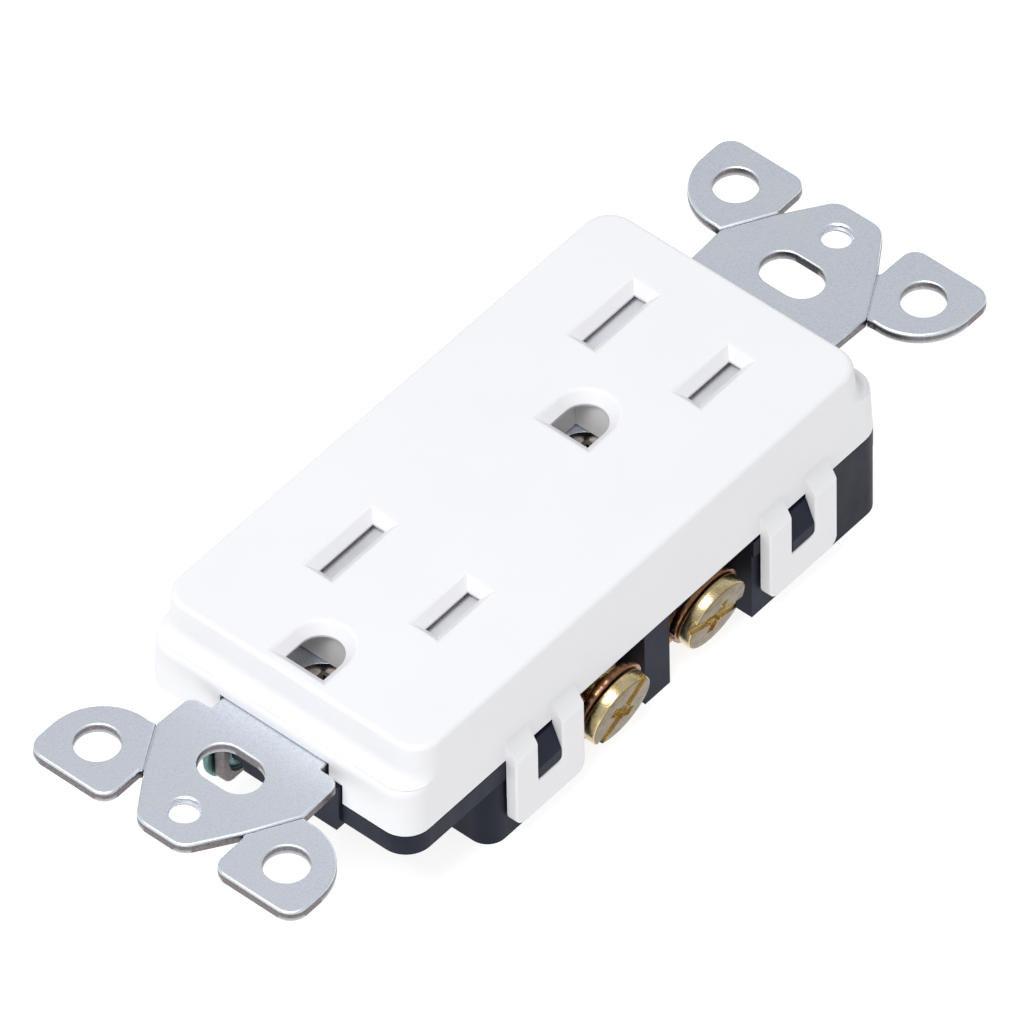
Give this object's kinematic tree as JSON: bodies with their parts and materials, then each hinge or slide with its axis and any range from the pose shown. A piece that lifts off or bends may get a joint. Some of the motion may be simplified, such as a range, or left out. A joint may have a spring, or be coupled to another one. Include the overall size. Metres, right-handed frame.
{
  "type": "duplex wall outlet",
  "caption": "Decorator-style tamper-resistant duplex receptacle: clip-on face cover, moulded base, steel mounting strap, sprung shutters and side terminal screws.",
  "frame": {"origin": "middle of the device, centred between the two wall-plate screw holes, on the rear face of the mounting strap", "axes": "+Z out of the wall, towards the plug; +Y to the top end of the device, away from the ground screw; +X to the hot side, with the brass screws and the short blade slots"},
  "size_m": [0.0372, 0.1044, 0.0218],
  "materials": {
    "white_nylon": "moulded satin",
    "black_base": "moulded satin",
    "galvanised_steel": "bright zinc plate",
    "contact_brass": "stamped",
    "tinned_brass": "tin plate",
    "copper_brass": "stamped",
    "screw_brass": "bright plate",
    "screw_nickel": "bright nickel plate",
    "screw_green": "green dyed zinc",
    "grey_nylon": "moulded",
    "spring_steel": "drawn wire"
  },
  "bodies": {
    "housing": {"face_cover": "white_nylon", "base_housing": "black_base", "mounting_strap": "galvanised_steel", "hot_contact_strip": "contact_brass", "neutral_contact_strip": "tinned_brass", "ground_contact_strip": "contact_brass", "ground_rivets": "tinned_brass", "upper_shutter_frame": "grey_nylon", "lower_shutter_frame": "grey_nylon", "upper_shutter_spring": "spring_steel", "lower_shutter_spring": "spring_steel"},
    "upper_shutter": {"upper_shutter": "grey_nylon"},
    "lower_shutter": {"lower_shutter": "grey_nylon"},
    "hot_upper_clamp": {"hot_upper_clamp": "copper_brass"},
    "hot_upper_screw": {"hot_upper_screw": "screw_brass"},
    "hot_lower_clamp": {"hot_lower_clamp": "copper_brass"},
    "hot_lower_screw": {"hot_lower_screw": "screw_brass"},
    "neutral_upper_clamp": {"neutral_upper_clamp": "tinned_brass"},
    "neutral_upper_screw": {"neutral_upper_screw": "screw_nickel"},
    "neutral_lower_clamp": {"neutral_lower_clamp": "tinned_brass"},
    "neutral_lower_screw": {"neutral_lower_screw": "screw_nickel"},
    "ground_screw": {"ground_screw": "screw_green"}
  },
  "joints": [
    {"name": "upper_shutter_slide", "type": "slide", "parent": "housing", "child": "upper_shutter", "axis": [1, 0, 0], "range_m": [0, 0.0022], "stiffness_N_per_m": 150, "springref_m": -0.002, "deforming": ["upper_shutter_spring"]},
    {"name": "lower_shutter_slide", "type": "slide", "parent": "housing", "child": "lower_shutter", "axis": [1, 0, 0], "range_m": [0, 0.0022], "stiffness_N_per_m": 150, "springref_m": -0.002, "deforming": ["lower_shutter_spring"]},
    {"name": "hot_upper_feed", "type": "slide", "parent": "housing", "child": "hot_upper_clamp", "axis": [0.9781, 0, -0.2079], "range_m": [-0.00053, 0.00099]},
    {"name": "hot_upper_turn", "type": "hinge", "parent": "hot_upper_clamp", "child": "hot_upper_screw", "pos_m": [0.0134, 0.00975, -0.0082], "axis": [0.9781, 0, -0.2079], "range_deg": [-240, 450]},
    {"name": "hot_lower_feed", "type": "slide", "parent": "housing", "child": "hot_lower_clamp", "axis": [0.9781, 0, -0.2079], "range_m": [-0.00132, 0.0002]},
    {"name": "hot_lower_turn", "type": "hinge", "parent": "hot_lower_clamp", "child": "hot_lower_screw", "pos_m": [0.0134, -0.00545, -0.0082], "axis": [0.9781, 0, -0.2079], "range_deg": [-600, 90]},
    {"name": "neutral_upper_feed", "type": "slide", "parent": "housing", "child": "neutral_upper_clamp", "axis": [-0.9781, 0, -0.2079], "range_m": [-0.00053, 0.00099]},
    {"name": "neutral_upper_turn", "type": "hinge", "parent": "neutral_upper_clamp", "child": "neutral_upper_screw", "pos_m": [-0.0134, 0.00975, -0.0082], "axis": [-0.9781, 0, -0.2079], "range_deg": [-240, 450]},
    {"name": "neutral_lower_feed", "type": "slide", "parent": "housing", "child": "neutral_lower_clamp", "axis": [-0.9781, 0, -0.2079], "range_m": [-0.00053, 0.00099]},
    {"name": "neutral_lower_turn", "type": "hinge", "parent": "neutral_lower_clamp", "child": "neutral_lower_screw", "pos_m": [-0.0134, -0.00545, -0.0082], "axis": [-0.9781, 0, -0.2079], "range_deg": [-240, 450]},
    {"name": "ground_screw_turn", "type": "hinge", "parent": "housing", "child": "ground_screw", "pos_m": [-0.0078, -0.034, -0.007], "axis": [-1, 0, 0], "continuous": true}
  ],
  "couplings": [
    {"joint": "hot_upper_turn", "follows": "hot_upper_feed", "rad_per_m": 7915.8},
    {"joint": "hot_lower_turn", "follows": "hot_lower_feed", "rad_per_m": 7915.8},
    {"joint": "neutral_upper_turn", "follows": "neutral_upper_feed", "rad_per_m": 7915.8},
    {"joint": "neutral_lower_turn", "follows": "neutral_lower_feed", "rad_per_m": 7915.8}
  ]
}
